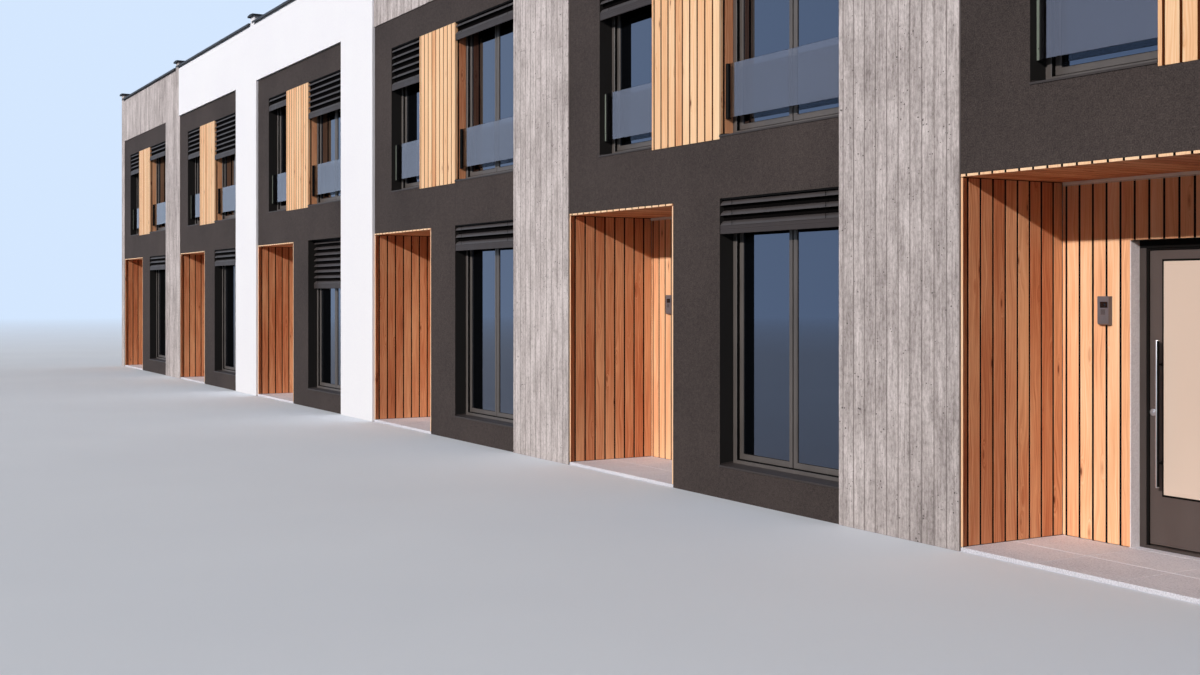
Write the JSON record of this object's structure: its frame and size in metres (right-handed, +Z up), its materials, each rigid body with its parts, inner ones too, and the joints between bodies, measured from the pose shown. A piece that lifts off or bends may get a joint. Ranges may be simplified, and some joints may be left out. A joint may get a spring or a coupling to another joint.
{
  "type": "terraced house row",
  "caption": "Terraced row of two-storey flat-roofed houses with recessed timber porches, glass balustrades, venetian blinds and inward-opening front doors",
  "frame": {"origin": "on the ground below the middle of the row", "axes": "X along the row to the right of a viewer in the street, Y from the street front to the rear, Z up"},
  "size_m": [35.43, 10.77, 6.915],
  "materials": {
    "floor_screed": "matte",
    "end_wall": "matte",
    "roof_membrane": "matte",
    "dark_render": "matte",
    "white_render": "matte",
    "board_concrete": "matte",
    "dark_metal": "satin",
    "grey_render": "matte",
    "pale_stone": "matte",
    "porch_timber": "satin",
    "front_timber": "satin",
    "window_metal": "satin",
    "clear_glass": "polished",
    "sill_metal": "satin",
    "blind_metal": "satin",
    "rail_metal": "satin",
    "guard_glass": "polished",
    "door_metal": "satin",
    "panel_face": "matte",
    "light_diffuser": "matte",
    "handle_steel": "brushed"
  },
  "bodies": {
    "row": {"ground_floor": "floor_screed", "party_walls": "end_wall", "first_floor": "floor_screed", "roof_deck": "floor_screed", "roof_cover": "roof_membrane", "ground_piers": "dark_render", "window_walls": "dark_render", "spandrels": "dark_render", "upper_piers": "dark_render", "lintels": "dark_render", "white_pillars": "white_render", "concrete_pillars": "board_concrete", "white_bands": "white_render", "concrete_bands": "board_concrete", "party_upstands": "white_render", "roof_copings": "dark_metal", "porch_back_walls": "grey_render", "porch_side_walls": "grey_render", "door_lintels": "grey_render", "porch_paving": "pale_stone", "porch_linings": "porch_timber", "slat_panels": "front_timber", "ground_windows": "window_metal", "upper_windows": "window_metal", "window_glass": "clear_glass", "window_sills": "sill_metal", "blinds": "blind_metal", "blind_rails": "rail_metal", "balustrades": "guard_glass", "balustrade_channels": "rail_metal", "door_frames": "door_metal", "entry_panels": "panel_face", "porch_lights": "light_diffuser"},
    "door_1": {"front_door_1": "door_metal", "pull_handle_1": "handle_steel"},
    "door_2": {"front_door_2": "door_metal", "pull_handle_2": "handle_steel"},
    "door_3": {"front_door_3": "door_metal", "pull_handle_3": "handle_steel"},
    "door_4": {"front_door_4": "door_metal", "pull_handle_4": "handle_steel"},
    "door_5": {"front_door_5": "door_metal", "pull_handle_5": "handle_steel"},
    "door_6": {"front_door_6": "door_metal", "pull_handle_6": "handle_steel"}
  },
  "joints": [
    {"name": "door_1_hinge", "type": "hinge", "parent": "row", "child": "door_1", "pos_m": [-15.636, -4.07, 1.1], "axis": [0, 0, -1], "range_deg": [0, 90]},
    {"name": "door_2_hinge", "type": "hinge", "parent": "row", "child": "door_2", "pos_m": [-9.786, -4.07, 1.1], "axis": [0, 0, -1], "range_deg": [0, 90]},
    {"name": "door_3_hinge", "type": "hinge", "parent": "row", "child": "door_3", "pos_m": [-3.936, -4.07, 1.1], "axis": [0, 0, -1], "range_deg": [0, 90]},
    {"name": "door_4_hinge", "type": "hinge", "parent": "row", "child": "door_4", "pos_m": [1.914, -4.07, 1.1], "axis": [0, 0, -1], "range_deg": [0, 90]},
    {"name": "door_5_hinge", "type": "hinge", "parent": "row", "child": "door_5", "pos_m": [7.764, -4.07, 1.1], "axis": [0, 0, -1], "range_deg": [0, 90]},
    {"name": "door_6_hinge", "type": "hinge", "parent": "row", "child": "door_6", "pos_m": [13.614, -4.07, 1.1], "axis": [0, 0, -1], "range_deg": [0, 90]}
  ]
}
